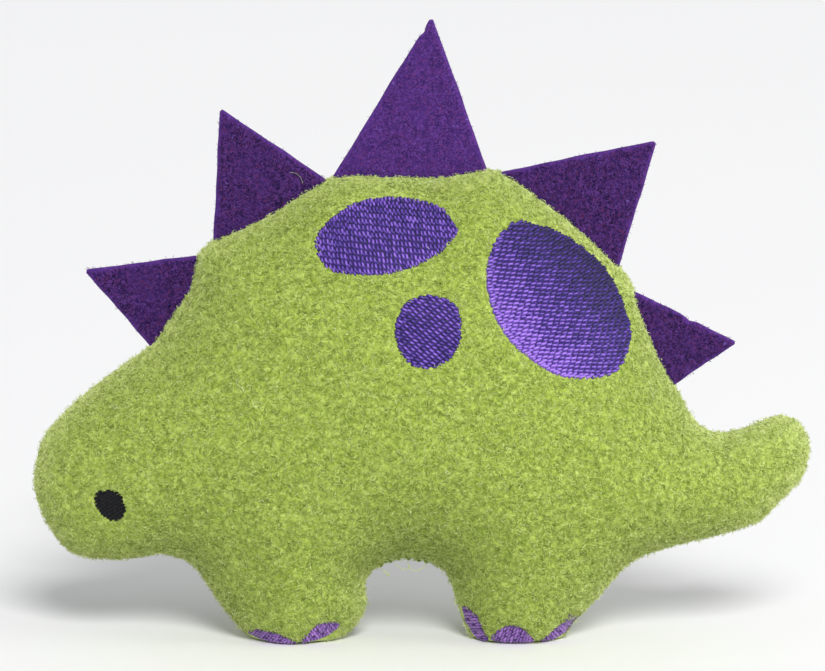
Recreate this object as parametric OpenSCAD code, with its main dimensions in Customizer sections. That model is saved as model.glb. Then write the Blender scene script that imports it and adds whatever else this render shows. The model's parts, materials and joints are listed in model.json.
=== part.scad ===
// Stuffed dinosaur: two fleece panels sewn together round the edge, turned and
// filled with fibre, with felt spikes caught in the back seam and embroidered
// spots, eye and claws on the front panel. It stands on its two feet, with the
// front panel facing -Y, the head at -X and the tail at +X.

/* [Toy] */
// Length from the nose to the tail tip
toy_length = 91; // [60:1:180]
// Depth of the stuffed body, front panel to back panel
body_depth = 28; // [18:1:36]
// How far the soles are pressed flat, measured up the foot
sole_press = 1; // [0.6:0.1:1.4]

/* [Cloth] */
// Thickness of the fleece
fleece_t = 1.6; // [1:0.1:2.4]
// Thickness of the felt that the spikes are cut from
felt_t = 1.2; // [0.8:0.1:1.6]
// Depth of the felt that is caught inside the back seam
seam_allowance = 4; // [3:0.5:6]
// Thickness of the stabilizer behind each embroidery
backing_t = 0.3; // [0.2:0.05:0.4]

/* [Thread] */
// Height of the fill stitches above the fleece
stitch_rise = 0.5; // [0.3:0.1:0.8]
// Diameter of the seam thread
thread_d = 0.35; // [0.25:0.05:0.5]
// Length of one seam stitch
stitch_len = 2.4; // [1.6:0.1:3]

/* [Spike hinge] */
// Gap between the moving felt and the seam
hinge_gap = 0.4; // [0.3:0.05:0.6]
// Length that each end of a spike's base is shortened by, clear of its neighbour
base_trim = 0.8; // [0.6:0.1:1.2]

/* [Hidden] */

// Everything below is drawn for a toy 91 long and scaled to toy_length
drawn_length = 91;
k = toy_length / drawn_length;
half_depth = body_depth / 2;
far = 200;
lobe_fn = 24;
backing_clear = 0.15;

// Seam line, seen from the front as [x, z], clockwise from the nose
head_line = [[-45.6, 18.2], [-44.7, 23.9], [-42.1, 27.3], [-38.5, 30.5], [-35.1, 33]];
neck_line = [[-31.8, 35.6], [-29.4, 39.2], [-27.1, 42.6], [-25.6, 47.1]];
back_line = [[-18.6, 50.8], [-10.5, 55.5], [-4, 55.8], [2, 55.7], [8.9, 56.3],
    [15.5, 52], [20.3, 47.9], [24.2, 43.7]];
rump_line = [[26, 39.2], [27.8, 34.7], [29.9, 30.7], [32.6, 26]];
tail_line = [[35.6, 24.9], [38.6, 25.7], [42, 27], [44.3, 26.4], [45.8, 23.8],
    [45.1, 19.8], [42.7, 17.1], [39.5, 14.1], [32.8, 12.1]];
rear_leg_line = [[27.6, 10.7], [24.1, 8.8], [20.8, 5], [18.2, 2.4], [16.4, 0.5],
    [13.2, -0.4], [9, -0.4], [6.5, 0.4], [4.8, 2.8], [4, 5.6]];
belly_line = [[2.6, 8.6], [-1.8, 9.9], [-5.2, 8.8], [-6.7, 7.1]];
front_leg_line = [[-6.5, 4], [-8.3, 1.6], [-11.7, -0.2], [-14.9, -0.9], [-17.6, -0.6],
    [-20.3, 0.8], [-22.5, 2.8], [-24.7, 5.8], [-26.9, 9]];
chin_line = [[-30.4, 10.4], [-35, 9.8], [-40.4, 10.2], [-43.4, 12.8]];
seam_line = concat(head_line, neck_line, back_line, rump_line, tail_line,
    rear_leg_line, belly_line, front_leg_line, chin_line);

// Lobes of the filling as [x, z, radius, share of half the depth]
head_ball = [-34.3, 20.9, 12.4, 0.6];
chin_ball = [-29.5, 17.6, 9.3, 0.55];
neck_ball = [-21.5, 29.2, 13, 0.84];
middle_ball = [-1, 34.7, 19, 1];
shoulder_top_ball = [-13, 37.7, 15.7, 0.92];
back_front_ball = [-5, 41.7, 15, 0.84];
back_rear_ball = [5, 42.2, 15, 0.84];
rump_ball = [11, 35.8, 16, 0.94];
belly_front_ball = [-12.5, 25.7, 16.5, 0.95];
belly_rear_ball = [12.5, 26.2, 16.5, 0.95];
front_foot_r = 10.3;
rear_foot_r = 10.8;
front_foot_ball = [-15.1, front_foot_r - sole_press, front_foot_r, 0.6];
rear_foot_ball = [12.3, rear_foot_r - sole_press, rear_foot_r, 0.6];
tail_root_ball = [24, 21, 10.4, 0.7];
tail_mid_ball = [36, 18.6, 7.2, 0.44];
tail_tip_ball = [40.8, 22, 6, 0.34];
LOBES = [[back_front_ball, back_rear_ball], [back_rear_ball, rump_ball],
    [back_front_ball, shoulder_top_ball], [middle_ball, rump_ball],
    [middle_ball, shoulder_top_ball], [belly_front_ball, belly_rear_ball],
    [middle_ball, belly_front_ball], [middle_ball, belly_rear_ball],
    [rump_ball, belly_rear_ball], [shoulder_top_ball, belly_front_ball],
    [head_ball, neck_ball], [head_ball, chin_ball], [chin_ball, belly_front_ball],
    [neck_ball, shoulder_top_ball], [neck_ball, belly_front_ball],
    [belly_front_ball, front_foot_ball], [belly_rear_ball, rear_foot_ball],
    [tail_root_ball, rear_foot_ball],
    [rump_ball, tail_root_ball], [belly_rear_ball, tail_root_ball],
    [tail_root_ball, tail_mid_ball], [tail_mid_ball, tail_tip_ball]];

// Spikes as [lower or left base point, upper or right base point, tip], all [x, z]
NECK = [[-32.1, 35.5], [-25.9, 46.1], [-39.3, 44.3]];
SHOULDER = [[-24.4, 48.2], [-10.8, 54.9], [-23.4, 63.2]];
BACK = [[-10.4, 55.6], [7.9, 56.1], [1.2, 74.1]];
HIP = [[10.3, 56.2], [23.4, 45.1], [27.4, 59.5]];
TAIL = [[25.1, 41.8], [30, 30.7], [36.9, 35.8]];
SPIKES = [NECK, SHOULDER, BACK, HIP, TAIL];

// Outlines of the embroidery as [x, z]: smooth loops for the spots and the eye
UPPER_SPOT = [[4.3, 50.1], [2.3, 52.5], [-1, 53.3], [-4.2, 53.5], [-7.6, 53], [-10.5, 51.3],
    [-12.4, 48.7], [-10.8, 45.9], [-7.6, 45.4], [-4.2, 45.5], [-1, 46.2], [2.1, 47.8]];
SMALL_SPOT = [[4.7, 39.4], [4, 42.1], [1.4, 43.2], [-1.4, 42.6], [-2.9, 40.3], [-2.8, 37.6],
    [-1.1, 35.3], [1.7, 35], [4, 36.7]];
LARGE_SPOT = [[9, 49.5], [7.6, 46.2], [8, 42.3], [9.6, 38.8], [12.3, 36], [15.6, 33.8],
    [19.5, 33], [23, 33.6], [24.6, 36.8], [23.8, 40.6], [22.1, 44.2], [19.4, 47], [16.2, 49.3],
    [13.1, 50.5], [11.1, 50.9]];
EYE = [[-34.8, 17.7], [-35.4, 19], [-36.9, 19.3], [-38.2, 18.6], [-38.2, 17.3], [-37.4, 16.1],
    [-36, 15.5], [-34.8, 16.3]];

// Outlines of the claws as [x, z], pointed at both ends
FRONT_CLAW_1 = [[-20.3, 0.8], [-19.3, 1.8], [-18.3, 1.9], [-16.6, 1.6], [-15.3, 0.8],
    [-14.6, 0.2], [-17.5, 0.2], [-18.8, 0.3]];
FRONT_CLAW_2 = [[-14.4, 0.2], [-14, 1.2], [-13, 2.1], [-12.3, 2.9], [-11.5, 3.3], [-9.8, 3.1],
    [-9.5, 2.4], [-9.9, 1.8], [-11, 1.2], [-12.2, 0.8]];
REAR_CLAW_1 = [[4.8, 4.1], [5.1, 4.5], [6, 4.1], [6.7, 3.5], [7, 2.5], [7.4, 1.6], [8.1, 0.8],
    [7.4, 0.4], [6.6, 0.4], [5.9, 1.2], [5.3, 2.3]];
REAR_CLAW_2 = [[8.2, 0.6], [8.8, 2], [10, 3], [11.2, 3.1], [12.2, 2.4], [12.8, 1.5],
    [13.6, 0.3], [12.4, 0.2], [9, 0.2]];
REAR_CLAW_3 = [[13.8, 0.2], [15.1, 1.3], [16.1, 2.1], [17.1, 2.5], [18.4, 2.8], [17.8, 1.9],
    [16.9, 1.1], [15.8, 0.5]];

// Stabilizer behind the claws as [x, z, half length, half width]
FRONT_FOOT_BACKING = [-15, 2.9, 7, 2.4];
REAR_FOOT_BACKING = [12, 2.9, 8, 2.4];
backing_margin = 1;
seam_margin = 0.7;

// Closing stitches over the turning gap in the belly seam
closing_first_x = -4.6;
closing_pitch = 1.3;
closing_count = 5;
belly_top_z = 9.8;

// Smooth closed curve through the points p, with n steps between each pair
function blend_point(a, b, c, d, t) = 0.5 * (2 * b + (c - a) * t
    + (2 * a - 5 * b + 4 * c - d) * t * t + (3 * b - a - 3 * c + d) * t * t * t);
function smooth_loop(p, n) = [for (i = [0:len(p) - 1], j = [0:n - 1])
    blend_point(p[(i + len(p) - 1) % len(p)], p[i], p[(i + 1) % len(p)],
        p[(i + 2) % len(p)], j / n)];
function unit(v) = v / norm(v);
function left_of(v) = [-v[1], v[0]];

// Base line of a spike: its direction, and its way out of the body
function along(s) = unit(s[1] - s[0]);
function outward(s) = left_of(along(s));

module to_front() {
    rotate([90, 0, 0]) children();
}

module seam_shape(grow) {
    offset(delta = grow) scale([k, k]) polygon(smooth_loop(seam_line, 2));
}

module lobe_ball(b, grow) {
    r = b[2] * k + grow;
    t = b[3] * half_depth + grow;
    translate([b[0] * k, 0, b[1] * k]) scale([r, t, r]) sphere(r = 1, $fn = lobe_fn);
}

// The stuffed body, grown or shrunk all round, on its pressed soles
module stuffed_body(grow = 0) {
    intersection() {
        to_front() linear_extrude(far, center = true) seam_shape(grow);
        union() {
            for (pair = LOBES) hull() {
                lobe_ball(pair[0], grow);
                lobe_ball(pair[1], grow);
            }
        }
        translate([0, 0, far / 2 - min(grow, 0)]) cube(far, center = true);
    }
}

module half_space(side) {
    translate([0, side * far / 2, 0]) cube(far, center = true);
}

// Felt of a spike that is caught between the panels
module tab(s) {
    a = s[0] + along(s) * base_trim;
    b = s[1] - along(s) * base_trim;
    inward = -outward(s) * seam_allowance;
    to_front() linear_extrude(felt_t, center = true)
        polygon([a * k, b * k, (b + inward) * k, (a + inward) * k]);
}

// Felt of a spike outside the seam, with a rounded base edge that it bends about
module spike(s) {
    rise = outward(s) * (felt_t / 2 + hinge_gap);
    a = (s[0] + along(s) * base_trim) * k + rise;
    b = (s[1] - along(s) * base_trim) * k + rise;
    turn = atan2(along(s)[0], along(s)[1]);
    to_front() linear_extrude(felt_t, center = true) polygon([a, b, s[2] * k]);
    translate([a[0], 0, a[1]]) rotate([0, turn, 0])
        cylinder(d = felt_t, h = norm(b - a), $fn = 24);
}

module panel(side) {
    difference() {
        intersection() {
            stuffed_body();
            half_space(side);
        }
        stuffed_body(-fleece_t);
        for (s = SPIKES) tab(s);
    }
}

module oval(e) {
    translate([e[0] * k, e[1] * k]) scale([e[2] * k, e[3] * k]) circle(r = 1, $fn = 40);
}

module spot_shape(points, margin = 0) {
    offset(delta = margin) scale([k, k]) polygon(smooth_loop(points, 3));
}

module claw_shape(points) {
    scale([k, k]) polygon(points);
}

// A layer that follows the front of the body, between two depths of growth, clear
// of the seam and of the felt in it
module front_layer(inner, outer) {
    difference() {
        intersection() {
            stuffed_body(outer);
            to_front() translate([0, 0, felt_t]) linear_extrude(far) intersection() {
                children();
                seam_shape(-seam_margin);
            }
        }
        stuffed_body(inner);
    }
}

module embroidery() {
    front_layer(0, stitch_rise) children();
}

module backing() {
    front_layer(-fleece_t - backing_t, -fleece_t) children();
}

module front_panel() {
    color([0.62, 0.70, 0.32]) panel(-1);
}

module back_panel() {
    color([0.60, 0.68, 0.31]) panel(1);
}

module fibre_fill() {
    color([0.95, 0.95, 0.93]) difference() {
        stuffed_body(-fleece_t - backing_t - backing_clear);
        for (s = SPIKES) tab(s);
    }
}

// Lockstitches along the seam, through both panels' edges
module seam_stitches() {
    path = smooth_loop(seam_line, 2) * k;
    color([0.66, 0.72, 0.30]) for (i = [0:len(path) - 1]) {
        way = unit(path[(i + 1) % len(path)] - path[i]);
        inward = [way[1], -way[0]] * fleece_t / 2;
        middle = path[i] + inward;
        if (middle[1] > fleece_t)
            translate([middle[0], 0, middle[1]]) rotate([90, 0, 0])
                cylinder(d = thread_d, h = stitch_len, center = true, $fn = 16);
    }
}

// Ladder stitches that close the turning gap under the belly
module closing_stitches() {
    color([0.72, 0.78, 0.34]) for (i = [0:closing_count - 1])
        translate([(closing_first_x + i * closing_pitch) * k, 0, belly_top_z * k])
            rotate([90, 0, 0]) cylinder(d = thread_d, h = stitch_len, center = true, $fn = 16);
}

module violet_stitches() {
    color([0.37, 0.26, 0.60]) embroidery() children();
}

module upper_spot() {
    violet_stitches() spot_shape(UPPER_SPOT);
}

module small_spot() {
    violet_stitches() spot_shape(SMALL_SPOT);
}

module large_spot() {
    violet_stitches() spot_shape(LARGE_SPOT);
}

module eye() {
    color([0.10, 0.11, 0.13]) embroidery() spot_shape(EYE);
}

module front_claw_1() {
    violet_stitches() claw_shape(FRONT_CLAW_1);
}

module front_claw_2() {
    violet_stitches() claw_shape(FRONT_CLAW_2);
}

module rear_claw_1() {
    violet_stitches() claw_shape(REAR_CLAW_1);
}

module rear_claw_2() {
    violet_stitches() claw_shape(REAR_CLAW_2);
}

module rear_claw_3() {
    violet_stitches() claw_shape(REAR_CLAW_3);
}

module stabilizer() {
    color([0.93, 0.93, 0.90]) backing() children();
}

module upper_spot_backing() {
    stabilizer() spot_shape(UPPER_SPOT, backing_margin);
}

module small_spot_backing() {
    stabilizer() spot_shape(SMALL_SPOT, backing_margin);
}

module large_spot_backing() {
    stabilizer() spot_shape(LARGE_SPOT, backing_margin);
}

module eye_backing() {
    stabilizer() spot_shape(EYE, backing_margin);
}

module front_foot_backing() {
    stabilizer() oval(FRONT_FOOT_BACKING);
}

module rear_foot_backing() {
    stabilizer() oval(REAR_FOOT_BACKING);
}

module felt() {
    color([0.28, 0.18, 0.42]) children();
}

module neck_spike() {
    felt() spike(NECK);
}

module shoulder_spike() {
    felt() spike(SHOULDER);
}

module back_spike() {
    felt() spike(BACK);
}

module hip_spike() {
    felt() spike(HIP);
}

module tail_spike() {
    felt() spike(TAIL);
}

module neck_spike_tab() {
    felt() tab(NECK);
}

module shoulder_spike_tab() {
    felt() tab(SHOULDER);
}

module back_spike_tab() {
    felt() tab(BACK);
}

module hip_spike_tab() {
    felt() tab(HIP);
}

module tail_spike_tab() {
    felt() tab(TAIL);
}

front_panel();
back_panel();
fibre_fill();
seam_stitches();
closing_stitches();
upper_spot();
small_spot();
large_spot();
eye();
front_claw_1();
front_claw_2();
rear_claw_1();
rear_claw_2();
rear_claw_3();
upper_spot_backing();
small_spot_backing();
large_spot_backing();
eye_backing();
front_foot_backing();
rear_foot_backing();
neck_spike();
shoulder_spike();
back_spike();
hip_spike();
tail_spike();
neck_spike_tab();
shoulder_spike_tab();
back_spike_tab();
hip_spike_tab();
tail_spike_tab();
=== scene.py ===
import json
import math

import bpy
import numpy as np
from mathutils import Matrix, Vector, geometry, noise
from mathutils.bvhtree import BVHTree


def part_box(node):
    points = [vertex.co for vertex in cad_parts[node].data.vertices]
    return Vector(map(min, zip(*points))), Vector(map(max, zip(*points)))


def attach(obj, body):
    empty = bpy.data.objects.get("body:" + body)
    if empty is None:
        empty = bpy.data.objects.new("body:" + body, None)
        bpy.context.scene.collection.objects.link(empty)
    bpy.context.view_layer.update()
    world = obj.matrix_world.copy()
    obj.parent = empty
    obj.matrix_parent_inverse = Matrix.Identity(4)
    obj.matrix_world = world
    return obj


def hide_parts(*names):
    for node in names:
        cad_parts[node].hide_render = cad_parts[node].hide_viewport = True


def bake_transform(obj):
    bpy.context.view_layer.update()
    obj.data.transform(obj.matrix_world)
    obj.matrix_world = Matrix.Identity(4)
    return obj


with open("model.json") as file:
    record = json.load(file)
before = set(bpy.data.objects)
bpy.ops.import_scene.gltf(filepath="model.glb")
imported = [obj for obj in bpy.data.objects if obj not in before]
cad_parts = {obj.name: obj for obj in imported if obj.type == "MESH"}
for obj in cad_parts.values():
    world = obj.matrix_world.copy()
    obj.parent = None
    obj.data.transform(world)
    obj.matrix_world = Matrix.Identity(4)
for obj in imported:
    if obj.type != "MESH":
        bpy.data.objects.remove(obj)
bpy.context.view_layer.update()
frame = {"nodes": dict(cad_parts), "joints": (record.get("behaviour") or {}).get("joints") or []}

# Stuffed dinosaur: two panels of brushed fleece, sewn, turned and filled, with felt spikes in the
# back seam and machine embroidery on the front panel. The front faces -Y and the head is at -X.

MM = 0.001
random_numbers = np.random.default_rng(41)

# ---- Sizes, in millimetres ----
PANEL_SPACING = 1.15        # side of the panel's triangles before subdivision
RIM_ROW = 0.45              # first row of points inside the seam
SEAM_SLOPE = 1.9            # how steeply the panels leave the seam
FOOT_STRETCH = 1.2          # how far the foot is drawn out below the floor, to be pressed flat on it
FOOT_HEIGHT = 3.4           # height over which the foot is drawn out
PUCKER_PITCH = 2.6          # distance between the puckers along the seam
PUCKER_DEPTH = 0.07         # how much deeper the body is on a pucker, as a share
STITCH_SINK = 0.28          # how deep the embroidery pulls the cloth in
TUFT_HEIGHT = 0.16          # height of the soft lumps of pile
GRAIN_HEIGHT = 0.11         # height of the finer unevenness over them
PILE_ROOM = 0.2             # room that the pile takes of the CAD's depth
RIM_SHEEN_DEPTH = 1.6             # how far the painted sheen, a paler pile, reaches from the seam
FIBRES = 21000              # single fibres in one piece of pile
ROW_PITCH = 0.35            # distance between two rows of fill stitches
STITCH = 0.9                # length of one fill stitch
THREAD_R = 0.195            # radius of the embroidery thread
THREAD_FLAT = 0.8           # its height as a share of its width
PLY_PITCH = 0.62            # length in which its two plies turn round once
SEAM_STITCH = 2.4           # length of one stitch of the seam
SEAM_INSET = 0.9            # distance of those stitches from the seam line
FILL_INSET = 2.6            # distance of the fill from the seam line
BACKING_DEPTH = 1.5         # depth of the stabilizer under the embroidery
BACKING_T = 0.3             # thickness of the stabilizer
FELT_INSIDE = 5.0           # felt below the hinge line: the gap to the seam and the seam allowance
HINGE_TO_SEAM = 1.0         # from the hinge line down to where the felt's base is measured
BASE_SINK = 0.9             # how much further down its two sides run, into the seam
BASE_TRIM = 0.8             # how much wider the felt's base is than the CAD's, at each end
FELT_SPACING = 0.5          # side of the felt's triangles
FELT_ROUGH = 0.05           # height of the felt's unevenness

# Seam line as (x, z), clockwise from the nose, the same points as the panels' seam in the frame
SEAM = [
    (-45.6, 18.2), (-44.7, 23.9), (-42.1, 27.3), (-38.5, 30.5), (-35.1, 33), (-31.8, 35.6),
    (-29.4, 39.2), (-27.1, 42.6), (-25.6, 47.1), (-18.6, 50.8), (-10.5, 55.5), (-4, 55.8),
    (2, 55.7), (8.9, 56.3), (15.5, 52), (20.3, 47.9), (24.2, 43.7), (26, 39.2), (27.8, 34.7),
    (29.9, 30.7), (32.6, 26), (35.6, 24.9), (38.6, 25.7), (42, 27), (44.3, 26.4), (45.8, 23.8),
    (45.1, 19.8), (42.7, 17.1), (39.5, 14.1), (32.8, 12.1), (27.6, 10.7), (24.1, 8.8), (20.8, 5),
    (18.2, 2.4), (16.4, 0.5), (13.2, -0.4), (9, -0.4), (6.5, 0.4), (4.8, 2.8), (4, 5.6), (2.6, 8.6),
    (-1.8, 9.9), (-5.2, 8.8), (-6.7, 7.1), (-6.5, 4), (-8.3, 1.6), (-11.7, -0.2), (-14.9, -0.9),
    (-17.6, -0.6), (-20.3, 0.8), (-22.5, 2.8), (-24.7, 5.8), (-26.9, 9), (-30.4, 10.4), (-35, 9.8),
    (-40.4, 10.2), (-43.4, 12.8),
]


# ---- Materials ----
def linear(r, g, b):
    """A colour given as 0 to 255 on a screen, in linear light."""
    red, green, blue = (((c / 255 + 0.055) / 1.055) ** 2.4 if c > 10 else c / 3294.6 for c in (r, g, b))
    return red, green, blue, 1.0


BLACK_VALUE = (0, 0, 0, 1)
WHITE_VALUE = (1, 1, 1, 1)
FLEECE_DARK = linear(102, 123, 33)
FLEECE_MIDDLE = linear(151, 170, 71)
FLEECE_LIGHT = linear(193, 207, 120)
# The palest fleece colour: the palest fibres, and the painted sheen near the seam
FLEECE_PALE_AND_SHEEN = linear(210, 220, 160)


class Nodes:
    """A material's node tree, with short calls for the nodes used here."""

    def __init__(self, name, roughness, **sockets):
        self.material = bpy.data.materials.new(name)
        self.material.use_nodes = True
        self.tree = self.material.node_tree
        self.shader = self.tree.nodes["Principled BSDF"]
        self.shader.inputs["Roughness"].default_value = roughness
        for socket, value in sockets.items():
            self.shader.inputs[socket.replace("_", " ")].default_value = value
        self.place = self.add("ShaderNodeTexCoord").outputs["Object"]

    def add(self, kind, **values):
        node = self.tree.nodes.new(kind)
        for key, value in values.items():
            setattr(node, key, value)
        return node

    def link(self, output, socket):
        self.tree.links.new(output, socket)

    def mapped(self, vector, socket, value):
        node = self.add("ShaderNodeMapping")
        node.inputs[socket].default_value = value
        self.link(vector, node.inputs["Vector"])
        return node.outputs["Vector"]

    def noise(self, scale, detail=3.0, rough=0.6, distortion=0.0, vector=None):
        node = self.add("ShaderNodeTexNoise")
        node.inputs["Scale"].default_value = scale
        node.inputs["Detail"].default_value = detail
        node.inputs["Roughness"].default_value = rough
        node.inputs["Distortion"].default_value = distortion
        self.link(vector or self.place, node.inputs["Vector"])
        return node.outputs["Fac"]

    def wisps(self, angle):
        """Noise drawn out in one direction, like combed fibres."""
        turned = self.mapped(self.place, "Rotation", (0.3, math.radians(angle), 0.2))
        return self.noise(3000, 3, 0.6, 0.8, self.mapped(turned, "Scale", (0.45, 1, 1)))

    def attribute(self, name):
        return self.add("ShaderNodeAttribute", attribute_name=name).outputs["Fac"]

    def ramp(self, value, stops):
        node = self.add("ShaderNodeValToRGB")
        ramp = node.color_ramp
        while len(ramp.elements) < len(stops):
            ramp.elements.new(0.5)
        for element, (position, colour) in zip(ramp.elements, stops):
            element.position = position
            element.color = colour
        self.link(value, node.inputs["Fac"])
        return node.outputs["Color"]

    def mix(self, amount, a, b, blend="MIX"):
        node = self.add("ShaderNodeMix", data_type="RGBA", blend_type=blend)
        for value, socket in ((amount, node.inputs["Factor"]), (a, node.inputs[6]), (b, node.inputs[7])):
            if isinstance(value, bpy.types.NodeSocket):
                self.link(value, socket)
            else:
                socket.default_value = value
        return node.outputs[2]

    def colour(self, output):
        self.link(output, self.shader.inputs["Base Color"])

    def bump(self, height, distance, strength=1.0):
        node = self.add("ShaderNodeBump")
        node.inputs["Distance"].default_value = distance
        node.inputs["Strength"].default_value = strength
        self.link(height, node.inputs["Height"])
        self.link(node.outputs["Normal"], self.shader.inputs["Normal"])


def fleece_material():
    """Brushed fleece: short wisps of lighter and darker pile, lying every way, over soft blotches, with
    painted shade in the hollows between the tufts and painted sheen that pales the pile near the seam.
    """
    m = Nodes("green_fleece", 0.95, Sheen_Weight=0.8, Sheen_Roughness=0.45, Specular_IOR_Level=0.1)
    m.shader.inputs["Sheen Tint"].default_value = linear(222, 236, 170)
    drift = m.noise(900, 2, 0.5)
    wisps = m.mix(m.ramp(drift, [(0.42, BLACK_VALUE), (0.58, WHITE_VALUE)]), m.wisps(25), m.wisps(-50))
    grain = m.mix(0.4, wisps, m.noise(3300, 3, 0.65))
    blotch = m.noise(640, 3, 0.6, 0.5)
    tone = m.ramp(grain, [(0.36, FLEECE_DARK), (0.5, FLEECE_MIDDLE), (0.63, FLEECE_LIGHT)])
    patch = m.ramp(blotch, [(0.35, linear(134, 155, 58)), (0.65, linear(170, 188, 98))])
    body = m.mix(0.3, tone, patch)
    # Painted shade: darker in the hollows between the tufts of pile
    shaded = m.mix(m.attribute("painted_hollow_shade"), body, FLEECE_DARK)
    # Painted sheen: paler towards the seam, where the cloth turns away
    m.colour(m.mix(m.attribute("rim"), shaded, FLEECE_PALE_AND_SHEEN))
    m.bump(grain, 0.0003, 0.7)
    return m.material


def pile_material():
    """The single fibres that stand out of the fleece, with painted sheen paling those near the seam."""
    m = Nodes("green_pile", 0.9, Sheen_Weight=0.5, Specular_IOR_Level=0.15)
    m.shader.inputs["Sheen Tint"].default_value = linear(222, 236, 170)
    m.colour(m.ramp(m.attribute("shade"), [
        (0.0, linear(84, 108, 24)), (0.2, FLEECE_DARK), (0.5, FLEECE_MIDDLE), (0.8, FLEECE_LIGHT),
        (1.0, FLEECE_PALE_AND_SHEEN)]))
    return m.material


def felt_material():
    """Pressed craft felt: dark purple wool with bluer and redder fibres and a few pale flecks."""
    m = Nodes("purple_felt", 0.96, Sheen_Weight=0.2, Sheen_Roughness=0.5, Specular_IOR_Level=0.1)
    m.shader.inputs["Sheen Tint"].default_value = linear(120, 80, 160)
    fibre = m.noise(2100, 4, 0.7, 1.8)
    cloud = m.noise(420, 3, 0.6, 0.6)
    fleck = m.noise(2900, 2, 0.6, 1.5, m.mapped(m.place, "Scale", (1, 1.3, 1)))
    wool = m.ramp(fibre, [
        (0.42, linear(14, 8, 44)), (0.5, linear(42, 24, 66)), (0.58, linear(76, 44, 106))])
    part = m.ramp(cloud, [(0.38, BLACK_VALUE), (0.66, (0.4, 0.4, 0.4, 1))])
    cloudy = m.mix(part, wool, linear(60, 33, 98))
    red = m.ramp(fleck, [(0.55, BLACK_VALUE), (0.66, (0.8, 0.8, 0.8, 1))])
    flecked = m.mix(red, cloudy, linear(82, 36, 78))
    pale = m.ramp(fleck, [(0.29, (0.6, 0.6, 0.6, 1)), (0.34, BLACK_VALUE)])
    dotted = m.mix(pale, flecked, linear(108, 84, 156))
    m.colour(m.mix(m.attribute("edge"), dotted, linear(80, 46, 128), "ADD"))
    m.bump(fibre, 0.00018, 0.7)
    return m.material


def thread_material(name, dark, middle, light, roughness, level):
    """Shiny embroidery thread: each thread a little lighter or darker, with the lie of its plies as
    painted highlights on their tops and painted shade on the sides, in the grooves and where stitches dip
    in.
    """
    m = Nodes(name, roughness, Specular_IOR_Level=level, Sheen_Weight=0.1)
    # The dark stop carries painted shade and the light stop painted highlight, besides each thread's own
    # tone
    stops = zip((0.1, 0.5, 0.95), (linear(*dark), linear(*middle), linear(*light)))
    m.colour(m.ramp(m.attribute("shade"), list(stops)))
    m.bump(m.noise(2600, 2, 0.5, 0.5), 0.00003, 0.4)
    return m.material


def fill_material():
    """Loose white polyester fibre."""
    m = Nodes("white_fill", 0.9, Sheen_Weight=0.3)
    strand = m.noise(900, 5, 0.7, 2.0)
    m.colour(m.ramp(strand, [(0.3, linear(215, 215, 212)), (0.7, linear(250, 250, 248))]))
    m.bump(strand, 0.0004)
    return m.material


def stabilizer_material():
    """Pressed non-woven sheet with a faint lie of fibres."""
    m = Nodes("white_stabilizer", 0.8)
    strand = m.noise(1400, 4, 0.6, 1.0, m.mapped(m.place, "Scale", (1, 1, 0.35)))
    m.colour(m.ramp(strand, [(0.3, linear(222, 222, 216)), (0.7, linear(244, 244, 240))]))
    m.bump(strand, 0.0001)
    return m.material


def floor_material():
    m = Nodes("pale_floor", 0.75, Specular_IOR_Level=0.2)
    m.colour(m.ramp(m.noise(2.0, 2), [(0.3, linear(246, 246, 248)), (0.7, linear(249, 249, 250))]))
    return m.material


FLEECE = fleece_material()
PILE = pile_material()
FELT = felt_material()
VIOLET = thread_material("violet_thread", (20, 8, 62), (62, 35, 130), (146, 106, 210), 0.46, 0.35)
MAUVE = thread_material("mauve_thread", (44, 18, 82), (104, 62, 142), (170, 126, 206), 0.42, 0.4)
BLACK = thread_material("black_thread", (4, 4, 7), (9, 9, 13), (18, 19, 26), 0.7, 0.12)
GREEN_THREAD = thread_material("green_thread", (110, 134, 42), (148, 170, 66), (190, 206, 112), 0.5, 0.4)
PALE_THREAD = thread_material("pale_lint", (166, 184, 116), (196, 206, 160), (230, 232, 218), 0.7, 0.2)
FILL = fill_material()
STABILIZER = stabilizer_material()


# ---- Mesh helpers ----
def set_values(mesh, values):
    """Stores numbers on a mesh, one for each point, under each name."""
    for key, numbers in values.items():
        attribute = mesh.attributes.new(key, "FLOAT", "POINT")
        attribute.data.foreach_set("value", np.asarray(numbers, np.float32))


def new_piece(name, verts_mm, faces, material, shades=None):
    """A mesh object from points in millimetres, shaded smooth."""
    mesh = bpy.data.meshes.new(name)
    mesh.from_pydata((np.asarray(verts_mm, float) * MM).tolist(), [], [list(map(int, f)) for f in faces])
    mesh.shade_smooth()
    mesh.materials.append(material)
    set_values(mesh, shades or {})
    piece = bpy.data.objects.new(name, mesh)
    bpy.context.scene.collection.objects.link(piece)
    return piece


def finish_piece(piece, body, slot, *nodes):
    """Puts a piece on its body, in place of its CAD nodes. The slot is not used."""
    if body:
        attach(piece, body)
    if nodes:
        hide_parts(*nodes)


def smooth_loop(points, steps):
    """A closed Catmull-Rom curve through the points."""
    p = np.asarray(points, float)
    a, b, c, d = (np.roll(p, k, axis=0)[:, None] for k in (1, 0, -1, -2))
    t = (np.arange(steps) / steps)[None, :, None]
    curve = 0.5 * (2 * b + (c - a) * t + (2 * a - 5 * b + 4 * c - d) * t**2
                   + (3 * b - a - 3 * c + d) * t**3)
    return curve.reshape(-1, 2)


def resampled(ring, spacing):
    """Points at even steps along a closed ring, about the given distance apart."""
    closed = np.vstack([ring, ring[:1]])
    reach = np.concatenate([[0], np.cumsum(np.linalg.norm(np.diff(closed, axis=0), axis=1))])
    count = max(8, int(round(reach[-1] / spacing)))
    at = np.linspace(0, reach[-1], count, endpoint=False)
    return np.stack([np.interp(at, reach, closed[:, i]) for i in (0, 1)], axis=1)


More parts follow.
